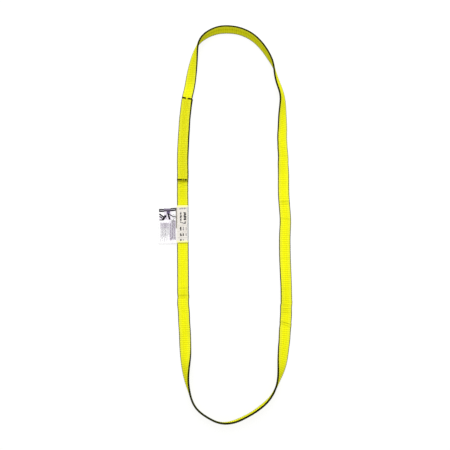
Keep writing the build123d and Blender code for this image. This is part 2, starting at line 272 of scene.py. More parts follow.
# arc lengths where two lengths of web meet, in the order the strip reaches them
RIGHT_UPPER, RIGHT_LOWER, LEFT_LOWER, LEFT_UPPER = [
    (arc[end - 1] + arc[end]) / 2 for end in node_ends[:-1]
]

# the strip read about every millimetre: centre, and directions along it, across it
# toward the inner edge, and off the face that is up at the splice
SAMPLES = int(round(arc[-1] / 1.0)) + 1
STATIONS = np.linspace(0, arc[-1], SAMPLES)
SPACING = STATIONS[1]
END = float(STATIONS[-1])
CENTRES = hermite(arc, middles, STATIONS)
across_span = hermite(
    arc, (corners[:, 2] + corners[:, 3] - corners[:, 0] - corners[:, 1]) / 2, STATIONS)
off_span = hermite(
    arc, (corners[:, 1] + corners[:, 2] - corners[:, 0] - corners[:, 3]) / 2, STATIONS)
HALF_WIDTH = float(np.mean(np.linalg.norm(across_span, axis=1))) / 2
HALF_THICK = float(np.mean(np.linalg.norm(off_span, axis=1))) / 2
TANGENTS = unit(np.gradient(CENTRES, axis=0))
ACROSS = unit(across_span - TANGENTS * (across_span * TANGENTS).sum(1)[:, None])
OFF = np.cross(ACROSS, TANGENTS)
if (OFF * off_span).sum() < 0:
    OFF = -OFF


def at_y(y, low, high):
    """Arc length between low and high where the strip crosses y."""
    inside = (STATIONS >= low) & (STATIONS <= high)
    ys, lengths = CENTRES[inside, 1], STATIONS[inside]
    order = np.argsort(ys)
    return float(np.interp(y, ys[order], lengths[order]))


LAP = END - at_y(float(CENTRES[0, 1]), LEFT_UPPER, END)  # length of the splice overlap

# darkened stretches: arc length, amount, half width along the strip; the first two are painted
# shadow just beyond the label panel's lower and upper ends, the other two are darker stretches
panel_y = cad_mesh("label_panel")[0][:, 1]
DARKENED_STRETCHES = [
    (at_y(panel_y.min() - 0.8, LEFT_LOWER, LEFT_UPPER), 0.75, 1.3),
    (at_y(panel_y.max() + 0.8, LEFT_LOWER, LEFT_UPPER), 0.15, 2.5),
    (at_y(panel_y.max() + 28.0, LEFT_LOWER, END), 0.22, 27.0),
    (LAP + 62.0, 0.26, 62.0),
]
# set creases, by the stretch of strip they lie in: y, height, half width along the
# strip, slant across it
CREASE_GROUPS = [
    (LEFT_LOWER - 60, LEFT_LOWER + 60, (
        (-167.3, 0.26, 1.2, 0.02), (-174.3, 0.16, 1.2, -0.02), (-178.6, 0.18, 1.1, 0.01),
        (-183.2, 0.60, 1.2, 0.01), (-187.6, 0.26, 1.2, -0.02))),
    (RIGHT_LOWER, RIGHT_LOWER + 90, (
        (-203.0, 0.16, 2.4, 0.05), (-211.0, 0.27, 1.2, 0.16), (-219.0, 0.20, 1.2, -0.05),
        (-240.5, 0.50, 1.3, -0.22), (-245.5, 0.30, 1.2, -0.30))),
    (RIGHT_UPPER - 200, RIGHT_LOWER, (
        (131.0, 0.10, 2.2, 0.15), (150.0, 0.09, 2.2, -0.15), (25.0, 0.24, 2.4, 0.05),
        (19.0, 0.20, 2.0, 0.02), (-14.0, 0.18, 2.2, -0.12), (-102.0, 0.11, 2.0, 0.06))),
    (LEFT_UPPER - 10, END, (
        (67.5, 0.30, 0.9, 0.30), (63.5, 0.26, 1.0, -0.35), (59.0, 0.20, 1.2, 0.25))),
]
CREASES = [
    (at_y(y, low, high), height, width, slant)
    for low, high, rows in CREASE_GROUPS
    for y, height, width, slant in rows
]
# sideways jogs: arc length, amount, half width along the strip
JOGS = [
    (at_y(-186.0, LEFT_LOWER - 60, LEFT_LOWER + 60), 0.8, 6.0),
    (at_y(-206.0, RIGHT_LOWER, RIGHT_LOWER + 60), 0.7, 7.0),
    (at_y(-246.0, RIGHT_LOWER, RIGHT_LOWER + 90), -0.7, 7.0),
    (at_y(124.0, RIGHT_UPPER - 200, RIGHT_UPPER), -0.6, 9.0),
    (at_y(148.0, RIGHT_UPPER - 200, RIGHT_UPPER), 0.6, 9.0),
]


def hump(x, centre, half_width):
    return np.exp(-(((x - centre) / half_width) ** 2))


def sway(along):
    """Sideways wander of the strip, calmer early in the left leg."""
    shift = 0.16 * np.sin(along / 23.0) + 0.12 * np.sin(along / 61.0 + 1.3)
    for centre, amount, width in JOGS:
        shift = shift + amount * hump(along, centre, width)
    free = smooth((np.abs(along - LEFT_LOWER - 120) - 20) / 60)
    return shift * (0.35 + 0.65 * free)


def lift(along, across):
    """Height of the strip's middle surface off its even shape: waves and creases."""
    rise = 0.05 * (1 + np.sin(along / 17.0)) + 0.05 * (1 + np.sin(along / 41.0 + across * 0.08))
    for centre, height, width, slant in CREASES:
        rise = rise + height * hump(along, centre + slant * across, width)
    return rise


def strip_frame(along):
    """Centre, across, off and tangent vectors at arc lengths."""
    place_in = np.clip(along / SPACING, 0, SAMPLES - 1)
    i = np.minimum(place_in.astype(int), SAMPLES - 2)
    part = (place_in - i)[..., None]
    return [table[i] * (1 - part) + table[i + 1] * part
            for table in (CENTRES, ACROSS, OFF, TANGENTS)]


def place(along, across, off):
    """Points at arc length along, across toward the inner edge, and off the middle surface."""
    centre, across_dir, off_dir, _ = strip_frame(along)
    return (centre + across_dir * (across + sway(along))[..., None]
            + off_dir * (off + lift(along, across))[..., None])


# ------------------------------------------------------------ mesh building
def tube(points, h, along, across, **extra):
    """Closed tube over a grid of points (n along, k round, 3), with flat ends.

    Returns points, faces and the attributes the materials read: h, L, A and any extra.
    """
    n, k = points.shape[:2]
    i = np.arange(n - 1)[:, None] * k
    j = np.arange(k)[None, :]
    following = (j + 1) % k
    quads = np.stack([i + j, i + following, i + k + following, i + k + j], axis=-1)
    faces = quads.reshape(-1, 4).tolist()
    faces += [list(range(k))[::-1], [(n - 1) * k + x for x in range(k)]]
    values = {"h": h, "L": along, "A": across, **extra}
    values = {key: np.broadcast_to(v, (n, k)).reshape(-1) for key, v in values.items()}
    return points.reshape(-1, 3), faces, values


def slab(top, bottom, h, along, across):
    """Thin closed sheet between two grids of points; the values serve both faces."""
    def both(upper, lower):
        return np.concatenate([upper, lower[:, ::-1]], axis=1)

    return tube(both(top, bottom), both(h, h), both(along, along), both(across, across))


def build(name, parts, surface, smooth_shade=True):
    """One object from tubes, with its material and slot."""
    faces, count = [], 0
    for points, part_faces, _ in parts:
        faces += [[x + count for x in face] for face in part_faces]
        count += len(points)
    mesh = bpy.data.meshes.new(name)
    mesh.from_pydata((np.concatenate([part[0] for part in parts]) * MM).tolist(), [], faces)
    mesh.update()
    for key in parts[0][2]:
        values = np.concatenate([part[2][key] for part in parts])
        attribute = mesh.attributes.new(key, "FLOAT", "POINT")
        attribute.data.foreach_set("value", values.astype(np.float32))
    mesh.polygons.foreach_set("use_smooth", np.full(len(mesh.polygons), smooth_shade))
    obj = bpy.data.objects.new(name, mesh)
    scene.collection.objects.link(obj)
    mesh.materials.append(surface.material)
    return obj


def stations(start, stop):
    """The strip's own stations from start to stop, as a column."""
    first, last = int(round(start / SPACING)), int(round(stop / SPACING))
    return STATIONS[first : last + 1][:, None]


def weave(along, across, offset):
    """0 in the grooves, 1 on top of a yarn float."""
    u = (across + HALF_WIDTH) / (2 * HALF_WIDTH) * COLUMNS
    column = np.minimum(np.floor(u), COLUMNS - 1)
    ribs = 0.5 - 0.5 * np.cos(TURN * (u - column))
    phase = along / PICK + 0.10 * (column % 2) + 0.05 * np.sin(along / 31.0) + offset
    floats = 0.5 - 0.5 * np.cos(TURN * phase)
    return ribs**0.5 * (0.16 + 0.84 * floats**0.75)


def soiled(along, across):
    """How much the web's colour is darkened: painted shade on one flank of each crease, painted
    shadow just beyond the label panel's ends, darker stretches, and painted shade in bands where
    the upper end stands on edge.
    """
    amount = 0.0
    # painted shade on one flank of each crease
    for centre, height, width, slant in CREASES:
        x = (along - centre - slant * across) / width
        amount = amount + 1.5 * height * np.exp(-((x - 0.3) ** 2) * 1.8)
    # painted shadow beyond the label panel's ends, and darker stretches
    for centre, strength, width in DARKENED_STRETCHES:
        amount = amount + strength * hump(along, centre, width)
    # painted shade: two lengthwise bands where the upper end stands on edge
    centre, across_dir, _, _ = strip_frame(along)
    stands = smooth((np.abs(across_dir[..., 2]) - 0.75) / 0.2)
    stands = stands * smooth((centre[..., 1] - 330.0) / 25.0)
    from_inner = (HALF_WIDTH - across) / (2 * HALF_WIDTH) + 0.03 * np.sin(along / 37.0)
    bands = 0.30 * hump(from_inner, 0.42, 0.11) + 0.16 * hump(from_inner, 0.86, 0.08)
    return np.clip(amount + stands * bands, 0, 1)


def web_part(along):
    """The woven body, both faces."""
    row = np.linspace(-HALF_WIDTH, HALF_WIDTH, COLUMNS * POINTS_PER_COLUMN + 1)
    across = np.r_[row, row[::-1]]
    h = np.concatenate(
        [weave(along, row, offset=0), weave(along, row[::-1], offset=0.5)], axis=1)
    face = np.r_[np.ones(len(row)), -np.ones(len(row))]
    off = face * (HALF_THICK - GROOVE_DEPTH * (1 - h))
    in_lap = np.maximum((along < LAP).astype(float), (along > END - LAP).astype(float))
    # lap marks the splice lap; the last attribute carries painted shade, painted shadow and
    # darker stretches to the web material
    return tube(place(along, across, off), h, along, across,
                lap=in_lap, soil=soiled(along, across))


# half of the selvedge's outline: beyond its start, off the middle surface
SELVEDGE_START = HALF_WIDTH + 0.05
SELVEDGE_OUTLINE = ((-0.75, 1.72), (-0.4, 2.02), (0.25, 2.06), (0.75, 1.72), (1.05, 1.05),
                    (1.20, 0.35))


def selvedge_part(along, side):
    """Dark edge with a row of knuckles; side is 1 for the inner edge, -1 for the outer."""
    half = [(SELVEDGE_START + x, y) for x, y in SELVEDGE_OUTLINE]
    outline = np.array(half + [(x, -y) for x, y in half[::-1]])
    outward = unit(outline - outline.mean(0))
    around = np.arange(len(outline))
    phase = along / PICK + around * 0.085 + (0.3 if side > 0 else 0)
    knuckle = 0.5 + 0.5 * np.sin(TURN * phase)
    fine = 0.5 + 0.5 * np.sin(TURN * around / 4.0)
    inset = -0.2 * (1 - knuckle) - 0.08 * (1 - fine)
    across = side * (outline[:, 0] + outward[:, 0] * inset)
    off = outline[:, 1] + outward[:, 1] * inset
    # h is high on the knuckles and low between them, where the yarn colour puts painted shade
    return tube(place(along, across, off), knuckle * (0.6 + 0.4 * fine), along, across)


def core_parts(along):
    """Two red core yarns, each two strands twisted together."""
    parts = []
    around = np.linspace(0, TURN, 6, endpoint=False)
    for row in (-0.5, 0.5):
        for start in (0, np.pi):
            twist = TURN * along / 9.0 + start
            across = row * HALF_WIDTH + 0.24 * np.cos(twist) + 0.26 * np.cos(around)
            off = 0.24 * np.sin(twist) + 0.26 * np.sin(around)
            parts.append(tube(place(along, across, off), 0.5 + 0.5 * np.cos(around),
                              along, across))
    return parts


# ------------------------------------------------------------ materials
BLACK = (0, 0, 0)
WHITE = (1.0, 1.0, 1.0)


def grey(value):
    return (value,) * 3


class Nodes:
    """Adds shader nodes to a tree; each method returns the new node's output."""

    def __init__(self, tree):
        self.tree = tree

    def add(self, kind, **settings):
        node = self.tree.nodes.new(kind)
        for key, value in settings.items():
            setattr(node, key, value)
        return node

    def feed(self, socket, value):
        """Link an output, or set a number or colour; None leaves the socket alone."""
        if value is None:
            return
        if hasattr(value, "node"):
            self.tree.links.new(value, socket)
        else:
            socket.default_value = (*value, 1) if isinstance(value, tuple) else value

    def attribute(self, name):
        return self.add("ShaderNodeAttribute", attribute_name=name).outputs["Fac"]

    def strip_coords(self):
        along, across = self.attribute("L"), self.attribute("A")
        node = self.add("ShaderNodeCombineXYZ")
        self.feed(node.inputs[0], along)
        self.feed(node.inputs[1], across)
        return node.outputs[0]

    def stretch(self, vector, along, across):
        node = self.add("ShaderNodeVectorMath", operation="MULTIPLY")
        self.feed(node.inputs[0], vector)
        node.inputs[1].default_value = (along, across, 1)
        return node.outputs[0]

    def noise(self, vector, detail, scale=1.0):
        node = self.add("ShaderNodeTexNoise")
        self.feed(node.inputs["Scale"], scale)
        self.feed(node.inputs["Detail"], detail)
        self.feed(node.inputs["Vector"], vector)
        return node.outputs["Fac"]

    def ramp(self, factor, *stops):
        """Each stop is a position and a colour."""
        node = self.add("ShaderNodeValToRGB")
        elements = node.color_ramp.elements
        while len(elements) < len(stops):
            elements.new(0.5)
        for element, (position, colour) in zip(elements, stops):
            element.position = position
            element.color = (*colour, 1)
        self.feed(node.inputs[0], factor)
        return node.outputs[0]

    def mix(self, factor, first, second, mode="MIX"):
        node = self.add("ShaderNodeMix", data_type="RGBA", blend_type=mode)
        for index, value in ((0, factor), (6, first), (7, second)):
            self.feed(node.inputs[index], value)
        return node.outputs[2]

    def multiply(self, first, second):
        return self.mix(1.0, first, second, "MULTIPLY")

    def math(self, operation, first, second=None):
        node = self.add("ShaderNodeMath", operation=operation)
        self.feed(node.inputs[0], first)
        self.feed(node.inputs[1], second)
        return node.outputs[0]


class Surface(Nodes):
    """A material with one principled shader."""

    def __init__(self, name):
        self.material = bpy.data.materials.new(name)
        self.material.use_nodes = True
        super().__init__(self.material.node_tree)
        self.tree.nodes.clear()
        output = self.add("ShaderNodeOutputMaterial")
        self.shader = self.add("ShaderNodeBsdfPrincipled")
        self.feed(output.inputs[0], self.shader.outputs[0])

    def set(self, name, value):
        self.feed(self.shader.inputs[name], value)

    def bump(self, height, strength, distance):
        node = self.add("ShaderNodeBump")
        self.feed(node.inputs["Strength"], strength)
        self.feed(node.inputs["Distance"], distance)
        self.feed(node.inputs["Height"], height)
        self.set("Normal", node.outputs[0])


def yarn_surface(name, painted_shade_colour, body, crest, drift, roughness, gloss=0.12):
    """Yarn: painted shade between yarns, fibre streaks, slow colour drift and light wear."""
    s = Surface(name)
    coords = s.strip_coords()
    h = s.attribute("h")
    fibre = s.noise(s.stretch(coords, along=0.9, across=7.0), detail=4)
    slow = s.noise(s.stretch(coords, along=0.018, across=0.05), detail=2)
    spots = s.noise(s.stretch(coords, along=0.16, across=0.5), detail=5)
    shade = s.math("ADD", h, s.math("MULTIPLY", s.math("SUBTRACT", fibre, 0.5), 0.55))
    # the ramp paints shade where h is low: in the grooves between yarns, between selvedge
    # knuckles and under stitches
    colour = s.ramp(shade, (0.0, painted_shade_colour), (0.42, body), (1.0, crest))
    drifting = s.ramp(slow, (0.35, BLACK), (0.7, WHITE))
    colour = s.mix(s.math("MULTIPLY", drifting, 0.35), colour, drift)
    worn = s.ramp(spots, (0.56, BLACK), (0.78, WHITE))
    worn_tint = tuple(min(1, x * 1.12 + 0.02) for x in crest)
    s.set("Base Color", s.mix(s.math("MULTIPLY", worn, 0.22), colour, worn_tint))
    relief = s.math("ADD", s.math("MULTIPLY", h, 0.5), s.math("MULTIPLY", fibre, 0.5))
    s.set("Roughness", s.ramp(relief, (0.0, grey(roughness + 0.2)), (1.0, grey(roughness - 0.1))))
    s.set("Specular IOR Level", gloss)
    twist = s.add("ShaderNodeTexWave", bands_direction="DIAGONAL")
    for key, value in (("Scale", 0.768), ("Distortion", 1.2), ("Detail", 2), ("Vector", coords)):
        s.feed(twist.inputs[key], value)
    height = s.math("ADD", s.math("MULTIPLY", twist.outputs["Fac"], 0.5), fibre)
    s.bump(height, strength=0.55, distance=0.00016)
    return s


def web_surface():
    """Yellow weave: duller in the splice lap and in darker stretches, with painted shade at the
    creases, in bands at the upper end and toward the selvedges, and painted shadow by the label
    panel's ends.
    """
    s = yarn_surface(
        "web_weave", painted_shade_colour=(0.50, 0.48, 0.001), body=(0.89, 0.885, 0.002),
        crest=(0.96, 0.955, 0.004), drift=(0.90, 0.91, 0.003), roughness=0.6, gloss=0.08)
    colour = s.shader.inputs["Base Color"].links[0].from_socket
    lap_tint = s.mix(s.attribute("lap"), WHITE, (0.80, 0.785, 1.2))
    # painted shade, painted shadow and darker stretches, from the attribute built in web_part
    smudges_and_painted_shade = s.mix(s.attribute("soil"), WHITE, (0.42, 0.41, 0.6))
    colour = s.multiply(s.multiply(colour, lap_tint), smudges_and_painted_shade)
    # faint stripes along the web, 5.2 mm apart
    phase = s.math("MULTIPLY", s.math("ADD", s.attribute("A"), 1.1), 2 * math.pi / 5.2)
    stripe = s.math("MULTIPLY", s.math("COSINE", phase), 0.5)
    stripe = s.ramp(s.math("ADD", stripe, 0.5), (0.0, (0.945, 0.94, 0.945)), (1.0, WHITE))
    colour = s.multiply(colour, stripe)
    # painted shade: darker and more olive toward the selvedges, as on a crowned web
    rim = s.math("DIVIDE", s.math("ABSOLUTE", s.attribute("A")), HALF_WIDTH)
    rim = s.ramp(rim, (0.35, BLACK), (0.95, WHITE))
    s.set("Base Color", s.mix(s.math("MULTIPLY", rim, 0.55), colour, (0.72, 0.73, 0.055)))
    return s


def sheet_surface(name, base, smudge, tint, coat):
    """Label stock: fine grain, smudges and a thin coat; tint shows where h is 1."""
    s = Surface(name)
    coords = s.strip_coords()
    grain = s.noise(s.stretch(coords, along=9, across=9), detail=2)
    smudges_and_painted_shade = s.noise(s.stretch(coords, along=0.11, across=0.17), detail=5)
    colour = s.ramp(grain, (0.3, tuple(x * 0.93 for x in base)), (0.7, base))
    smudged = s.ramp(smudges_and_painted_shade, (0.45, BLACK), (0.8, WHITE))
    colour = s.mix(s.math("MULTIPLY", smudged, 0.5), colour, smudge)
    s.set("Base Color", s.mix(s.attribute("h"), colour, tint))
    s.set("Roughness", s.ramp(smudges_and_painted_shade, (0.2, grey(0.32)), (0.8, grey(0.55))))
    s.set("Coat Weight", coat)
    s.set("Coat Roughness", 0.25)
    s.bump(grain, strength=0.35, distance=0.00006)
    return s


def ink_surface(name, colour):
    """Print that is a little uneven and worn through in spots."""
    s = Surface(name)
    wear = s.noise(s.stretch(s.strip_coords(), along=1.6, across=1.6), detail=4)
    s.set("Base Color", s.ramp(
        wear, (0.3, tuple(x * 0.8 for x in colour)), (0.62, colour),
        (0.85, tuple(x * 0.8 + 0.035 for x in colour))))
    s.set("Roughness", s.ramp(wear, (0, grey(0.55)), (1, grey(0.75))))
    s.set("Specular IOR Level", 0.08)
    s.bump(wear, strength=0.3, distance=0.00003)
    return s


YELLOW = web_surface()
DARK = yarn_surface(
    "selvedge_yarn", painted_shade_colour=(0.0016, 0.0018, 0.0002), body=(0.014, 0.016, 0.0008),
    crest=(0.045, 0.050, 0.002), drift=(0.024, 0.029, 0.001), roughness=0.75, gloss=0.03)
RED = yarn_surface(
    "core_yarn", painted_shade_colour=(0.12, 0.004, 0.004), body=(0.45, 0.015, 0.012),
    crest=(0.60, 0.04, 0.03), drift=(0.4, 0.01, 0.02), roughness=0.6)
GOLD = yarn_surface(
    "splice_thread", painted_shade_colour=(0.40, 0.38, 0.002), body=(0.74, 0.72, 0.008),
    crest=(0.90, 0.88, 0.02), drift=(0.78, 0.76, 0.01), roughness=0.5, gloss=0.15)
CROSS = yarn_surface(
    "cross_thread", painted_shade_colour=(0.001, 0.0012, 0.0004), body=(0.005, 0.0055, 0.001),
    crest=(0.018, 0.019, 0.005), drift=(0.009, 0.010, 0.003), roughness=0.7, gloss=0.04)
TACK = yarn_surface(
    "label_thread", painted_shade_colour=(0.4, 0.38, 0.25), body=(0.74, 0.71, 0.55),
    crest=(0.86, 0.84, 0.72), drift=(0.7, 0.7, 0.6), roughness=0.5)
PANEL_STOCK = sheet_surface(
    "label_stock", base=(0.70, 0.665, 0.60), smudge=(0.52, 0.47, 0.45),
    tint=(0.86, 0.84, 0.30), coat=0.08)
# the turned edge's tint is a painted shadow line, shown where h is high
TURNED_STOCK = sheet_surface(
    "turned_edge_stock", base=(0.80, 0.78, 0.76), smudge=(0.60, 0.55, 0.50),
    tint=(0.15, 0.125, 0.085), coat=0.05)
FLAG_STOCK = sheet_surface(
    "flag_stock", base=(0.90, 0.89, 0.90), smudge=(0.76, 0.73, 0.76),
    tint=(0.66, 0.64, 0.64), coat=0.08)
INKS = {
    ink: ink_surface("print_" + ink, colour)
    for ink, colour in (
        ("black", (0.010, 0.008, 0.014)),
        ("indigo", (0.13, 0.10, 0.19)),
        ("grey", (0.26, 0.24, 0.27)),
        ("purple_grey", (0.24, 0.20, 0.27)),
        ("pale_grey", (0.47, 0.46, 0.49)),
        ("lilac", (0.76, 0.71, 0.79)),
        ("blue_grey", (0.33, 0.38, 0.47)),
    )
}

# ------------------------------------------------------------ the strip, length by length
MIDDLE, UPPER, LOWER = "middle_section", "upper_section", "lower_section"
# name, start, stop, and the body it rides or the two bodies on either side of its fold
LENGTHS = [
    ("upper", 0.0, RIGHT_UPPER - UPPER_BEND, UPPER),
    ("fold_right_upper", RIGHT_UPPER - UPPER_BEND, RIGHT_UPPER + UPPER_BEND, (MIDDLE, UPPER)),
    ("right_middle", RIGHT_UPPER + UPPER_BEND, RIGHT_LOWER - LOWER_BEND, MIDDLE),
    ("fold_right_lower", RIGHT_LOWER - LOWER_BEND, RIGHT_LOWER + LOWER_BEND, (MIDDLE, LOWER)),
    ("lower", RIGHT_LOWER + LOWER_BEND, LEFT_LOWER - LOWER_BEND, LOWER),
    ("fold_left_lower", LEFT_LOWER - LOWER_BEND, LEFT_LOWER + LOWER_BEND, (MIDDLE, LOWER)),
    ("left_middle", LEFT_LOWER + LOWER_BEND, LEFT_UPPER - UPPER_BEND, MIDDLE),
    ("fold_left_upper", LEFT_UPPER - UPPER_BEND, LEFT_UPPER + UPPER_BEND, (MIDDLE, UPPER)),
    ("tail", LEFT_UPPER + UPPER_BEND, END, UPPER),
]
# the lower end folds right over, so the reach given for its bend is short: a long one would sag
# to the ground
BENDS = {  # joint, direction along Y from the middle section, reach
    UPPER: ("upper_fold", 1, UPPER_BEND - 1.5),
    LOWER: ("lower_fold", -1, 12.0),
}


def attach(obj, body):
    if isinstance(body, str):
        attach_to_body(obj, body)
        return
    joint, direction, reach = BENDS[body[1]]
    reach = direction * (reach * MM)
    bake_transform(obj)


def replaced_nodes(name):
    """CAD nodes a straight length stands for: web, inner edge, outer edge, core."""
    if name == "tail":
        return "web_splice_tail", "tail_edge_inner", "tail_edge_outer", "core_yarns_tail"
    return tuple(kind + name for kind in ("web_", "edge_inner_", "edge_outer_", "core_yarns_"))


def strip_length(name, start, stop, body):
    along = stations(start, stop)
    pieces = [
        build("weave_" + name, [web_part(along)], YELLOW),
        build("selvedge_inner_" + name, [selvedge_part(along, 1)], DARK),
        build("selvedge_outer_" + name, [selvedge_part(along, -1)], DARK),
        build("warning_yarns_" + name, core_parts(along), RED),
    ]
    for piece, node in zip(pieces, replaced_nodes(name)):
        attach(piece, body)
        if isinstance(body, str):
            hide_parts(node)


for entry in LENGTHS:
    strip_length(*entry)


# ------------------------------------------------------------ splice sewing
def stitch(along, across, off, length, width, height, face=1, lengthwise=True):
    """One thread stitch, a plump capsule lying on a face of the web (1 or -1)."""
    t = np.linspace(-1, 1, 5)[:, None]
    swell = np.sqrt(np.maximum(1 - np.abs(t) ** 3, 0.06))
    around = np.linspace(0, TURN, 6, endpoint=False)
    sideways = width / 2 * swell * np.cos(around)
    height_off = off + height / 2 * swell * np.sin(around) + height * 0.25
    run = length / 2 * t
    if lengthwise:
        along, across = along + run, across + sideways
    else:
        along, across = along + sideways, across + run
    # h is high on top of each stitch and low underneath, so the thread colour puts painted shade
    # under it
    return tube(place(along, across, face * height_off), 0.55 + 0.45 * np.sin(around),
                along, across)


def jitter(reach):
    return rng.uniform(-reach, reach)


def cross_row(along, dashes, off, length, face=1, slant=0.0):
    """A row of close stitches across the web; each dash is a middle and a span."""
    parts = []
    for middle, span in dashes:
        for across in np.arange(middle - span / 2 + 0.3, middle + span / 2 - 0.2, 0.62):
            parts.append(stitch(
                along + slant * across + jitter(0.12), across, off,
                length=length + jitter(0.2), width=0.70, height=0.75, face=face))
    return parts


def splice_threads():
    """Lengthwise rows on the start of the strip, and on the other face of its tail."""
    parts = [
        stitch(along + jitter(0.15), row + jitter(0.12), HALF_THICK,
               length=THREAD_LENGTH, width=0.95, height=0.55)
        for row in THREAD_ROWS
        for along in np.arange(7.0, LAP - 6, THREAD_PITCH)
    ]
    rows = build("splice_stitch_rows", parts, GOLD)
    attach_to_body(rows, UPPER)
    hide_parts("splice_thread_rows")
    parts = [
        stitch(along, row - 0.4 + jitter(0.12), HALF_THICK - 0.12,
               length=THREAD_LENGTH, width=0.9, height=0.4, face=-1)
        for row in THREAD_ROWS
        for along in np.arange(END - LAP + 7.0, END - 6, THREAD_PITCH)
    ]
    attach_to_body(build("splice_stitch_rows_back", parts, GOLD), UPPER)


def splice_crossings():
    """Dark rows across the ends of the lap."""
    parts = cross_row(2.2, ((-5.6, 11.4), (2.6, 3.2), (7.4, 5.2)), HALF_THICK, length=3.3)
    parts += cross_row(LAP - 0.6, ((-6.6, 8.6), (6.6, 8.6)), HALF_THICK,
                       length=4.1, slant=-0.10)
    rows = build("splice_cross_stitching", parts, CROSS)
    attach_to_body(rows, UPPER)
    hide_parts("splice_cross_rows")
    parts = cross_row(END - 1.8, ((-4.5, 11.0), (6.0, 7.0)), HALF_THICK - 0.15,
                      length=2.4, face=-1)
    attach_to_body(build("splice_cross_stitching_back", parts, CROSS), UPPER)


splice_threads()
splice_crossings()


# ------------------------------------------------------------ label panel
def panel_extent():
    """The CAD panel's ranges along the strip, across it and off its middle surface."""
    points, _ = cad_mesh("label_panel")
    leg = (STATIONS > LEFT_LOWER + 5) & (STATIONS < LEFT_UPPER - 5)
    along = np.interp(points[:, 1], CENTRES[leg, 1], STATIONS[leg])
    centre, across_dir, off_dir, tangent = strip_frame(along)
    from_centre = points - centre
    along = along + (from_centre * tangent).sum(1)
    across = (from_centre * across_dir).sum(1)
    off = (from_centre * off_dir).sum(1)
    return [(values.min(), values.max()) for values in (along, across, off)]


(PANEL_LOW, PANEL_HIGH), (PANEL_OUTER, PANEL_INNER), (PANEL_BACK, PANEL_FACE) = panel_extent()
PANEL_INNER = PANEL_INNER + 1.0  # the sheet laps a little way over the inner selvedge


def panel_margin(along):
    """Distance from the nearer of the panel's upper and lower ends."""
    return np.minimum(along - PANEL_LOW, PANEL_HIGH - along)


def panel_top(along, across):
    """Height of the sheet's face, slightly puckered and curled at its long edges."""
    inside = np.minimum(panel_margin(along), 9.0) / 9.0
    ripple = 0.10 * np.sin(across * 2.1 + 0.7) * (1 - inside)
    wave = 0.10 * inside * (1 + np.sin(along / 6.5 + across * 0.25)) / 2
    middle, half = (PANEL_OUTER + PANEL_INNER) / 2, (PANEL_INNER - PANEL_OUTER) / 2
    rim = smooth((np.abs(across - middle) / half - 0.86) / 0.14)
    return PANEL_FACE + 0.1 + ripple + wave + 0.25 * rim * np.sin(along / 11.0) ** 2


def panel_sheet():
    along, across = np.meshgrid(np.linspace(PANEL_LOW, PANEL_HIGH, 90),
                                np.linspace(PANEL_OUTER, PANEL_INNER, 26), indexing="ij")
    top = panel_top(along, across)
    bottom = top - ((PANEL_FACE + 0.1) - (PANEL_BACK + 0.06)) * 0.8
    end_band = (panel_margin(along) < 4.6).astype(float)
    sheet = slab(place(along, across, top), place(along, across, bottom),
                 end_band, along, across)
    panel = build("label_panel_sheet", [sheet], PANEL_STOCK)
    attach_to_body(panel, MIDDLE)
    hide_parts("label_panel", "label_panel_film")


def panel_block(u0, u1, v0, v1):
    """Printed block on the panel grid: u from the outer edge, v down from the upper end."""
    grid_across, grid_down = PANEL_GRID
    length, width = PANEL_HIGH - PANEL_LOW, PANEL_INNER - PANEL_OUTER
    low, high = PANEL_HIGH - length * (v1 / grid_down), PANEL_HIGH - length * (v0 / grid_down)
    outer = PANEL_OUTER + width * (u0 / grid_across)
    inner = PANEL_OUTER + width * (u1 / grid_across)
    along, across = np.meshgrid(
        np.linspace(low, high, max(2, int((high - low) / 1.0) + 1)),
        np.linspace(outer, inner, max(2, int((inner - outer) / 0.8) + 1)), indexing="ij")
    base = panel_top(along, across)
    return slab(place(along, across, base + PRINT_LIFT),
                place(along, across, base - PRINT_SINK),
                np.zeros(along.shape), along, across)


def print_marks(sheet, prints, body):
    """One flat-shaded object for each ink."""
    for ink, parts in prints.items():
        name = f"{sheet}_print_{ink}"
        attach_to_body(build(name, parts, INKS[ink], smooth_shade=False), body)


# blocks on the panel: v0, v1, u0, u1, and 1 for black or 0 for grey
PANEL_BLOCKS = (
    (6.5, 7.7, 3.1, 4.3, 0), (7.9, 9.0, 2.9, 4.5, 1), (9.2, 10.0, 3.2, 4.2, 0),
    (10.2, 11.6, 3.0, 4.6, 1), (11.8, 12.8, 2.8, 4.3, 1), (13.0, 13.9, 3.2, 4.5, 0),
    (14.1, 15.3, 2.9, 4.5, 1), (7.0, 8.1, 6.3, 8.6, 1), (8.3, 9.6, 6.8, 8.9, 1),
    (9.8, 10.6, 6.4, 8.3, 1), (10.8, 12.2, 6.5, 9.0, 1), (12.4, 13.2, 6.9, 9.0, 1),
    (13.4, 14.8, 6.5, 8.9, 1), (16.3, 17.2, 3.0, 4.1, 1), (17.0, 17.7, 4.2, 5.6, 1),
    (17.4, 18.5, 5.7, 7.3, 0), (16.2, 17.3, 7.4, 8.6, 1), (17.5, 18.5, 7.0, 8.4, 1),
    (21.4, 22.5, 3.1, 4.3, 1), (22.6, 23.6, 2.9, 4.4, 1), (23.7, 24.9, 3.1, 4.4, 1),
    (25.0, 25.4, 3.2, 4.2, 0), (21.4, 23.2, 5.7, 6.6, 0), (23.4, 25.0, 5.6, 6.7, 0),
    (21.6, 25.2, 8.6, 9.2, 0), (27.9, 29.0, 2.8, 4.2, 1), (29.1, 30.6, 3.2, 4.6, 1),
    (27.9, 29.4, 5.6, 6.6, 1), (29.5, 30.5, 5.5, 6.7, 1), (28.0, 30.4, 8.4, 9.3, 0),
    (33.6, 35.2, 3.1, 4.5, 1), (33.8, 35.0, 5.7, 6.5, 0),
)


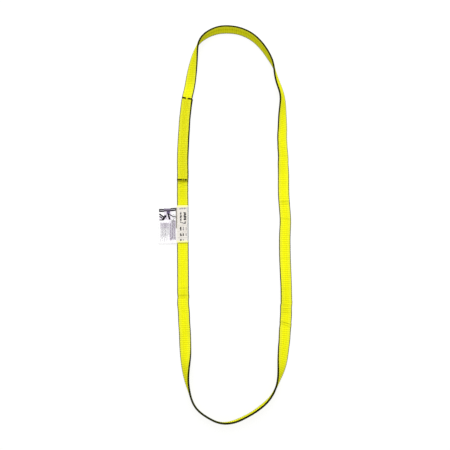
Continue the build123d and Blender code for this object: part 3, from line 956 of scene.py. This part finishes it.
def panel_print():
    prints = {"black": [], "grey": [], "blue_grey": []}
    # a row of narrow characters near the upper end
    for k in range(13):
        u = 2.3 + 0.53 * k + float(jitter(0.1))
        v0 = 2.1 + float(rng.uniform(0, 0.7))
        v1 = 3.7 + float(rng.uniform(-0.4, 0.6))
        prints["black" if k % 4 == 1 else "grey"].append(panel_block(u, u + 0.36, v0, v1))
    for v0, v1, u0, u1, dark in PANEL_BLOCKS:
        prints["black" if dark else "grey"].append(panel_block(u0, u1, v0, v1))
    # thin rules across, and a stripe down the inner side
    for v in (19.8, 26.5, 32.2):
        prints["grey"].append(panel_block(1.5, 10.0, v, v + 0.16))
    prints["blue_grey"].append(panel_block(10.15, 10.65, 1.2, 35.8))
    print_marks("panel", prints, MIDDLE)


def panel_stitches():
    """Tacking across both ends and down both long sides."""
    parts = []
    for along in (PANEL_HIGH - 2.4, PANEL_LOW + 2.4):
        for across in np.arange(PANEL_OUTER + 3.6, PANEL_INNER - 0.6, 2.9):
            parts.append(stitch(along, across, panel_top(along, across) + 0.05,
                                length=2.3, width=0.6, height=0.35, lengthwise=False))
    for across in (PANEL_OUTER + 2.3, PANEL_INNER - 1.0):
        for along in np.arange(PANEL_LOW + 5.5, PANEL_HIGH - 4, 3.6):
            parts.append(stitch(along, across, panel_top(along, across) + 0.02,
                                length=2.6, width=0.5, height=0.24))
    tack = build("label_tack_stitches", parts, TACK)
    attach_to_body(tack, MIDDLE)
    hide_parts("label_stitching")


panel_sheet()
panel_print()
panel_stitches()

# ------------------------------------------------------------ label flag
PIVOT = np.array(JOINTS["label_flap"]["pos_m"]) * 1000
HINGE_AXIS = unit(np.array(JOINTS["label_flap"]["axis"], float))
OUTWARD = unit(np.cross(np.array([0, 0, 1.0]), HINGE_AXIS))
if OUTWARD[0] > 0:
    OUTWARD = -OUTWARD
flag_points, flag_tris = cad_mesh("flag_panel")
flag_out = (flag_points - PIVOT) @ OUTWARD
flag_axial = (flag_points - PIVOT) @ HINGE_AXIS
FLAG_NEAR, FLAG_FAR = float(flag_out.min()), float(flag_out.max())
FLAG_WIDTH = FLAG_FAR - FLAG_NEAR
near_side = flag_axial[flag_out < FLAG_NEAR + 0.8]
far_side = flag_axial[flag_out > FLAG_FAR - 0.8]


def flag_span(out):
    """Ends of the flag along its hinge axis, at a distance out from the hinge."""
    reach = [FLAG_NEAR, FLAG_FAR]
    return (np.interp(out, reach, [near_side.min(), far_side.min()]),
            np.interp(out, reach, [near_side.max(), far_side.max()]))


def flag_droop(outs):
    """Heights of the CAD flag's top along its middle."""
    tree = BVHTree.FromPolygons(flag_points.tolist(), flag_tris.tolist())
    heights = []
    for out in outs:
        out = min(max(out, FLAG_NEAR + 0.05), FLAG_FAR - 0.05)
        low, high = flag_span(out)
        point = PIVOT + OUTWARD * out + HINGE_AXIS * (low + high) / 2
        hit = tree.ray_cast(Vector((point[0], point[1], 40)), Vector((0, 0, -1)))
        heights.append(hit[0][2])
    return np.array(heights)


DROOP_OUTS = np.linspace(FLAG_NEAR, FLAG_FAR, 60)
DROOP_HEIGHTS = flag_droop(DROOP_OUTS)


def flag_height(out, down):
    """Top of the flag sheet: the droop, plus soft waves and lifted free corners."""
    z = np.interp(out, DROOP_OUTS, DROOP_HEIGHTS)
    free = smooth((out - FLAG_NEAR) / FLAG_WIDTH)
    z = z + 0.35 * free * (1 + np.sin(down * 7.5 + out * 0.10)) / 2
    z = z + 0.7 * free**3 * smooth((down - 0.75) / 0.25)
    return z + 0.45 * free**3 * smooth((0.22 - down) / 0.22)


def hinge_points(out, axial, height):
    """Points by distance out from the hinge, place along its axis, and z."""
    points = PIVOT + out[..., None] * OUTWARD + axial[..., None] * HINGE_AXIS
    points[..., 2] = height
    return points


def flag_slab(inward, down, rise, sink, h):
    """Thin sheet over the flag: inward is 0 at the free side to 1 at the fold, down is
    0 at the upper end to 1 at the lower end."""
    out = FLAG_FAR + (FLAG_NEAR - FLAG_FAR) * inward
    low, high = flag_span(out)
    axial = high + (low - high) * down
    z = flag_height(out, down)
    return slab(hinge_points(out, axial, z + rise), hinge_points(out, axial, z - sink),
                h, axial, out)


def flag_patch(in0, in1, down0, down1, rise, sink, rim_tint=0.0):
    """Rectangle on the flag; rim_tint is the h value along the flag's own rim."""
    inward, down = np.meshgrid(
        np.linspace(in0, in1, max(2, int((in1 - in0) * 40) + 1)),
        np.linspace(down0, down1, max(2, int((down1 - down0) * 60) + 1)), indexing="xy")
    rim = np.minimum(np.minimum(inward, 1 - inward) * 3, np.minimum(down, 1 - down) * 6)
    return flag_slab(inward, down, rise, sink, (rim < 0.02).astype(float) * rim_tint)


def flag_area(u0, u1, v0, v1, rise=PRINT_LIFT):
    """Printed rectangle on the flag grid: u from the free side, v down from the upper end."""
    grid_across, grid_down = FLAG_GRID
    return flag_patch(u0 / grid_across, u1 / grid_across, v0 / grid_down, v1 / grid_down,
                      rise, PRINT_SINK)


def flag_stroke(u0, v0, u1, v1, width):
    """Printed stroke between two places on the flag grid, width in mm."""
    size = np.array([FLAG_WIDTH, FLAG_LENGTH])
    start = np.array([u0, v0]) / FLAG_GRID * size
    end = np.array([u1, v1]) / FLAG_GRID * size
    run = end - start
    n = max(2, int(np.linalg.norm(run) / 0.9) + 1)
    line = start + run * np.linspace(0, 1, n)[:, None]
    side = np.array([-run[1], run[0]])
    side = side / np.linalg.norm(side) * width / 2
    grid = np.clip(np.stack([line - side, line + side], axis=1) / size, 0.005, 0.995)
    return flag_slab(grid[..., 0], grid[..., 1], PRINT_LIFT, PRINT_SINK, np.zeros((n, 2)))


# rectangles on the flag: ink, u0, u1, v0, v1
FLAG_AREAS = (
    # heading: two uneven bars with a lighter stretch between them
    ("black", 0.1, 4.5, 0.7, 1.9), ("black", 0.1, 1.0, 1.9, 2.6),
    ("black", 0.1, 4.6, 2.6, 3.9), ("black", 10.9, 16.1, 0.05, 1.2),
    ("black", 11.3, 16.1, 1.9, 3.3), ("black", 4.5, 11.3, 2.2, 3.3),
    ("black", 15.3, 16.1, 1.2, 1.9), ("indigo", 4.5, 10.9, 0.3, 1.1),
    ("purple_grey", 4.5, 11.3, 1.1, 2.2), ("pale_grey", 1.0, 4.5, 1.9, 2.6),
    ("pale_grey", 11.3, 15.3, 1.2, 1.9),
    # among the sketches
    ("indigo", 7.2, 10.2, 3.2, 5.6),
)
# lilac washes under the sketches and the columns: u0, u1, v0, v1
FLAG_WASHES = (
    (4.6, 11.6, 3.0, 12.2), (0.3, 4.6, 8.0, 12.0),
    (1.4, 9.3, 14.6, 20.0), (9.6, 16.1, 13.2, 32.6),
)
# strokes of the sketches: ink, u0, v0, u1, v1, width in mm
FLAG_STROKES = (
    ("black", 0.3, 5.8, 4.9, 9.4, 3.3), ("black", 6.3, 7.2, 3.6, 11.9, 4.6),
    ("black", 0.5, 12.0, 4.0, 12.0, 2.4), ("black", 0.4, 8.2, 3.2, 10.4, 2.6),
    ("black", 8.4, 5.2, 10.1, 11.6, 3.9), ("black", 9.6, 6.2, 13.2, 8.8, 2.2),
    ("black", 13.2, 8.8, 16.3, 9.5, 2.2), ("indigo", 7.0, 6.0, 6.6, 11.0, 1.1),
    ("grey", 12.9, 7.0, 15.6, 7.6, 1.1), ("grey", 12.8, 9.9, 15.4, 11.2, 1.3),
    ("grey", 10.8, 11.9, 13.0, 12.6, 1.0),
)
# fine columns toward the free side: u, width, lower end
FREE_COLUMNS = (
    (1.5, 0.42, 34.0), (2.3, 0.62, 31.0), (3.2, 0.42, 33.5), (3.9, 0.62, 29.5),
    (4.8, 0.50, 34.0), (5.6, 0.60, 30.0), (6.5, 0.50, 33.0), (7.3, 0.50, 28.0),
    (8.1, 0.50, 33.5), (8.9, 0.45, 27.0),
)
# columns toward the fold: u, width, upper end, lower end
FOLD_COLUMNS = (
    (9.7, 0.55, 16.0, 29.0), (10.6, 0.65, 15.4, 33.0), (11.5, 0.65, 13.0, 32.0),
    (12.4, 0.75, 12.2, 31.5), (13.4, 0.75, 11.6, 32.0), (14.4, 0.70, 12.6, 31.5),
    (15.3, 0.75, 13.2, 32.5),
)


def flag_columns(prints):
    """Broken columns of print; those on the free side thin out toward the lower end."""
    for k, (u, width, bottom) in enumerate(FREE_COLUMNS):
        v = 14.4 + 0.5 * (k % 3)
        while v < bottom:
            dash = float(rng.uniform(2.2, 4.2))
            dark = (v < 20.5 and k % 2 == 0) or (k in (2, 5) and v < 26)
            part = flag_area(u, u + width, v, min(v + dash, bottom))
            prints["grey" if dark else "pale_grey"].append(part)
            v += dash + float(rng.uniform(0.25, 0.5)) + max(0.0, (v - 24.0) * 0.07)
    for k, (u, width, v, bottom) in enumerate(FOLD_COLUMNS):
        while v < bottom:
            dash = float(rng.uniform(1.6, 4.0))
            dark = (k in (3, 4) and v < 19.0) or (k == 2 and v > 26.0) or (k >= 5 and v > 25.5)
            ink = "grey" if dark else "purple_grey" if k % 2 else "pale_grey"
            prints[ink].append(flag_area(u, u + width, v, min(v + dash, bottom)))
            v += dash + 0.35


def flag_print():
    prints = {ink: [] for ink in
              ("pale_grey", "lilac", "indigo", "black", "grey", "purple_grey")}
    for ink, *box in FLAG_AREAS:
        prints[ink].append(flag_area(*box))
    for box in FLAG_WASHES:
        prints["lilac"].append(flag_area(*box, rise=0.02))
    for ink, *line in FLAG_STROKES:
        prints[ink].append(flag_stroke(*line))
    flag_columns(prints)
    print_marks("flag", prints, "label_flag")


def flag_sheet():
    sheet = flag_patch(0, 1, 0, 1, rise=0.0, sink=0.38, rim_tint=0.6)
    flag = build("label_flag_sheet", [sheet], FLAG_STOCK)
    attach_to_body(flag, "label_flag")
    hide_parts("flag_panel", "flag_film")


def turned_edge():
    """The strip of stock that joins the flag to the panel."""
    panel_edge = place(np.array([(PANEL_LOW + PANEL_HIGH) / 2]),
                       np.array([PANEL_OUTER + 1.2]), np.array([PANEL_FACE]))[0]
    down = np.linspace(0.0, 1.0, 70)[:, None]
    low, high = flag_span(FLAG_NEAR)
    axial = high + (low - high) * down
    edge_out = float((panel_edge - PIVOT) @ OUTWARD)
    flag_z = float(np.interp(FLAG_NEAR + 0.4, DROOP_OUTS, DROOP_HEIGHTS))
    flag_z_further = float(np.interp(FLAG_NEAR + 1.6, DROOP_OUTS, DROOP_HEIGHTS))
    # from the panel, over the hinge, to the flag: distance out, z
    path = np.array([
        (edge_out, panel_edge[2] + 0.02),
        (edge_out * 0.62, panel_edge[2] + 0.20),
        (edge_out * 0.25, panel_edge[2] + 0.62),
        (0.0, PIVOT[2] + 0.12),
        (FLAG_NEAR + 0.4, flag_z),
        (FLAG_NEAR + 1.6, flag_z_further + 0.02),
    ])
    lengths = arc_lengths(path)
    curve = hermite(lengths, path, np.linspace(0, lengths[-1], 16))
    upward = unit(np.stack([-np.gradient(curve[:, 1]), np.gradient(curve[:, 0])], axis=1))
    upward = upward * np.sign(upward[:, 1:2] + 1e-9)
    loop = np.concatenate([curve + upward * 0.03, (curve - upward * 0.30)[::-1]])
    # h paints the shadow line dark along the upper part of the turned edge
    part = tube(hinge_points(loop[:, 0], axial, loop[:, 1]),
                0.85 * smooth((0.60 - down) / 0.05), axial, loop[:, 0])
    fold = build("label_turned_edge", [part], TURNED_STOCK)
    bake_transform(fold)


flag_sheet()
flag_print()
turned_edge()

# turn the normals of every built mesh outward
for obj in list(scene.objects):
    if obj.type == "MESH" and "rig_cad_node" not in obj:
        editable = bmesh.new()
        editable.from_mesh(obj.data)
        bmesh.ops.recalc_face_normals(editable, faces=editable.faces)
        editable.to_mesh(obj.data)
        editable.free()

# ------------------------------------------------------------ stage, light, camera
centre = (cad_lo + cad_hi) / 2


def make_floor():
    """White paper to the lens that throws less light back on the strap."""
    bpy.ops.mesh.primitive_plane_add(size=60, location=(centre.x, centre.y, -0.0004))
    floor = bpy.context.active_object
    floor.name = "floor"
    s = Surface("floor_white")
    mottle = s.noise(None, detail=2, scale=3.0)
    camera_ray = s.add("ShaderNodeLightPath").outputs["Is Camera Ray"]
    bounced = s.ramp(mottle, (0, grey(0.44)), (1, grey(0.46)))
    seen = s.ramp(mottle, (0, grey(0.145)), (1, grey(0.155)))
    s.set("Base Color", s.mix(camera_ray, bounced, seen))
    s.set("Roughness", 0.9)
    s.set("Specular IOR Level", 0.0)
    s.set("Emission Color", WHITE)
    s.set("Emission Strength", s.math("MULTIPLY", camera_ray, 0.865))
    floor.data.materials.append(s.material)


def make_world():
    """White to the lens and a little dimmer as a light."""
    world = bpy.data.worlds.new("studio")
    world.use_nodes = True
    nodes = Nodes(world.node_tree)
    background = world.node_tree.nodes["Background"]
    nodes.feed(background.inputs[0], WHITE)
    camera_ray = nodes.add("ShaderNodeLightPath").outputs["Is Camera Ray"]
    strength = nodes.math("ADD", nodes.math("MULTIPLY", camera_ray, 0.36), 0.64)
    nodes.feed(background.inputs[1], strength)
    scene.world = world


def area_light(name, location, target, size, power):
    light = bpy.data.lights.new(name, "AREA")
    light.shape = "DISK"
    light.size = size
    light.energy = power
    obj = bpy.data.objects.new(name, light)
    scene.collection.objects.link(obj)
    obj.location = location
    aim = Vector(target) - Vector(location)
    obj.rotation_euler = aim.to_track_quat("-Z", "Y").to_euler()


def make_camera(target, distance, tilt):
    """Looks down from above, tipped toward +Y by tilt."""
    camera = bpy.data.objects.new("camera", bpy.data.cameras.new("camera"))
    camera.data.lens = 50
    camera.data.sensor_width = 36
    camera.location = target + Vector((0, -math.sin(tilt), math.cos(tilt))) * distance
    camera.rotation_euler = (tilt, 0, 0)
    scene.collection.objects.link(camera)
    scene.camera = camera


make_floor()
make_world()
area_light("key", location=(-0.3, 0.95, 2.1), target=centre, size=2.0, power=25)
area_light("low_back", location=(0.15, 2.1, 0.95), target=(0.0, -0.4, 0.0), size=1.8, power=20)
area_light("fill", location=(0.9, -0.6, 2.1), target=centre, size=2.0, power=8)
make_camera(target=Vector((-0.00025, -0.02821, 0.0)), distance=1.36875, tilt=math.radians(14))
scene.view_settings.view_transform = "Standard"
